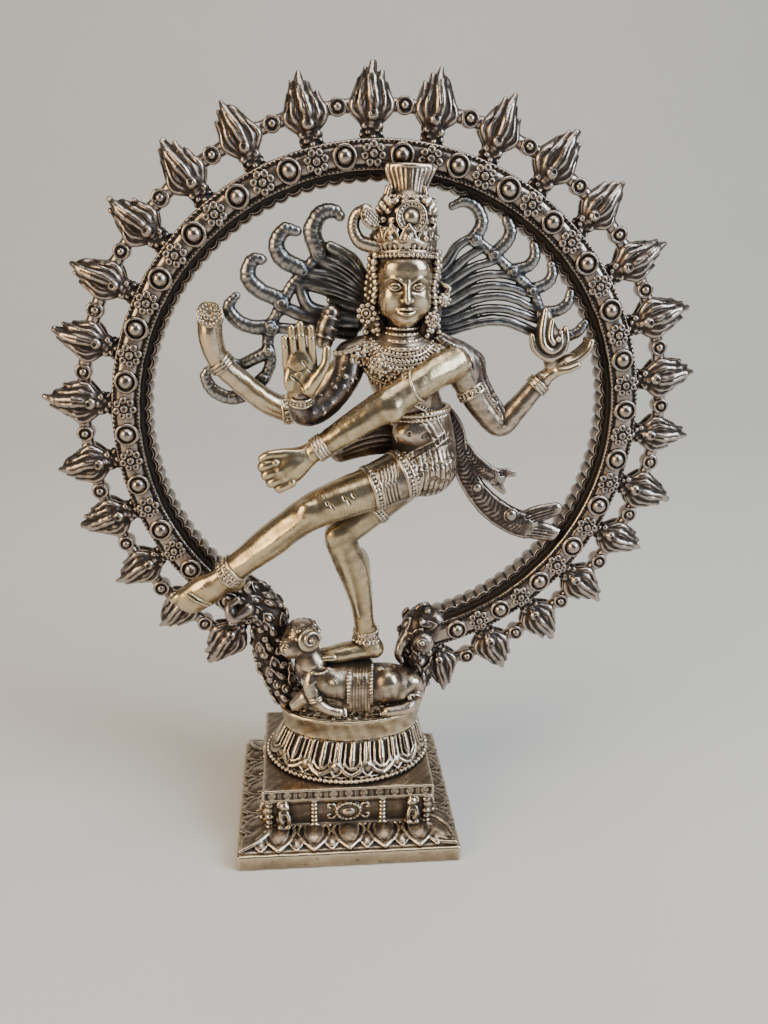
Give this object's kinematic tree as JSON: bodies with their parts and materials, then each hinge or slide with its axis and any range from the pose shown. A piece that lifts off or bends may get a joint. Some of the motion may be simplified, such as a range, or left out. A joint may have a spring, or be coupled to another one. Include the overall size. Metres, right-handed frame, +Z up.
{
  "type": "brass nataraja statue",
  "caption": "Cast brass dancer on one leg inside a ring of flames, on a lotus cushion and a stepped rectangular pedestal, for a shelf or table.",
  "frame": {"origin": "middle of the pedestal's underside, on the surface it stands on", "axes": "+Z up, +Y to the back, +X to the right as seen from the front"},
  "size_m": [0.2516, 0.081, 0.3029],
  "materials": {
    "aged_brass": "antique brass, dark in the recesses, rubbed bright on the high points",
    "worn_brass": "smooth antique brass, polished by handling, with brown stains",
    "dark_patina": "dark brown and blue-black patina, lightly rubbed",
    "plain_brass": "plain turned brass"
  },
  "bodies": {
    "root": {"base_slab": "worn_brass", "leaf_course": "aged_brass", "dado": "aged_brass", "dado_pilasters": "aged_brass", "dado_medallions": "aged_brass", "corner_balusters": "aged_brass", "cornice": "aged_brass", "lotus_cushion": "aged_brass", "platform_band": "worn_brass", "clamp_screws": "plain_brass", "clamp_washers": "plain_brass", "dwarf_body": "aged_brass", "dwarf_head": "aged_brass", "ring_band": "aged_brass", "ring_bosses": "aged_brass", "ring_rosettes": "aged_brass", "flame_rail": "aged_brass", "rail_beads": "aged_brass", "ring_flames": "aged_brass", "ring_foot_left": "aged_brass", "ring_foot_right": "aged_brass", "crown_lug": "aged_brass", "crown_pin": "plain_brass", "torso": "worn_brass", "hips": "worn_brass", "belt": "aged_brass", "standing_leg": "worn_brass", "standing_foot": "worn_brass", "raised_leg": "worn_brass", "raised_foot": "worn_brass", "anklets": "aged_brass", "thigh_bands": "aged_brass", "crossing_arm": "worn_brass", "crossing_hand": "worn_brass", "blessing_arm": "aged_brass", "blessing_hand": "worn_brass", "drum_arm": "worn_brass", "drum": "worn_brass", "flame_arm": "worn_brass", "flame_hand": "worn_brass", "held_flame": "aged_brass", "bangles": "aged_brass", "head": "worn_brass", "crown": "aged_brass", "crown_snake": "aged_brass", "earrings": "aged_brass", "necklace": "aged_brass", "hair_left": "dark_patina", "hair_right": "dark_patina", "sash": "aged_brass"}
  },
  "joints": []
}
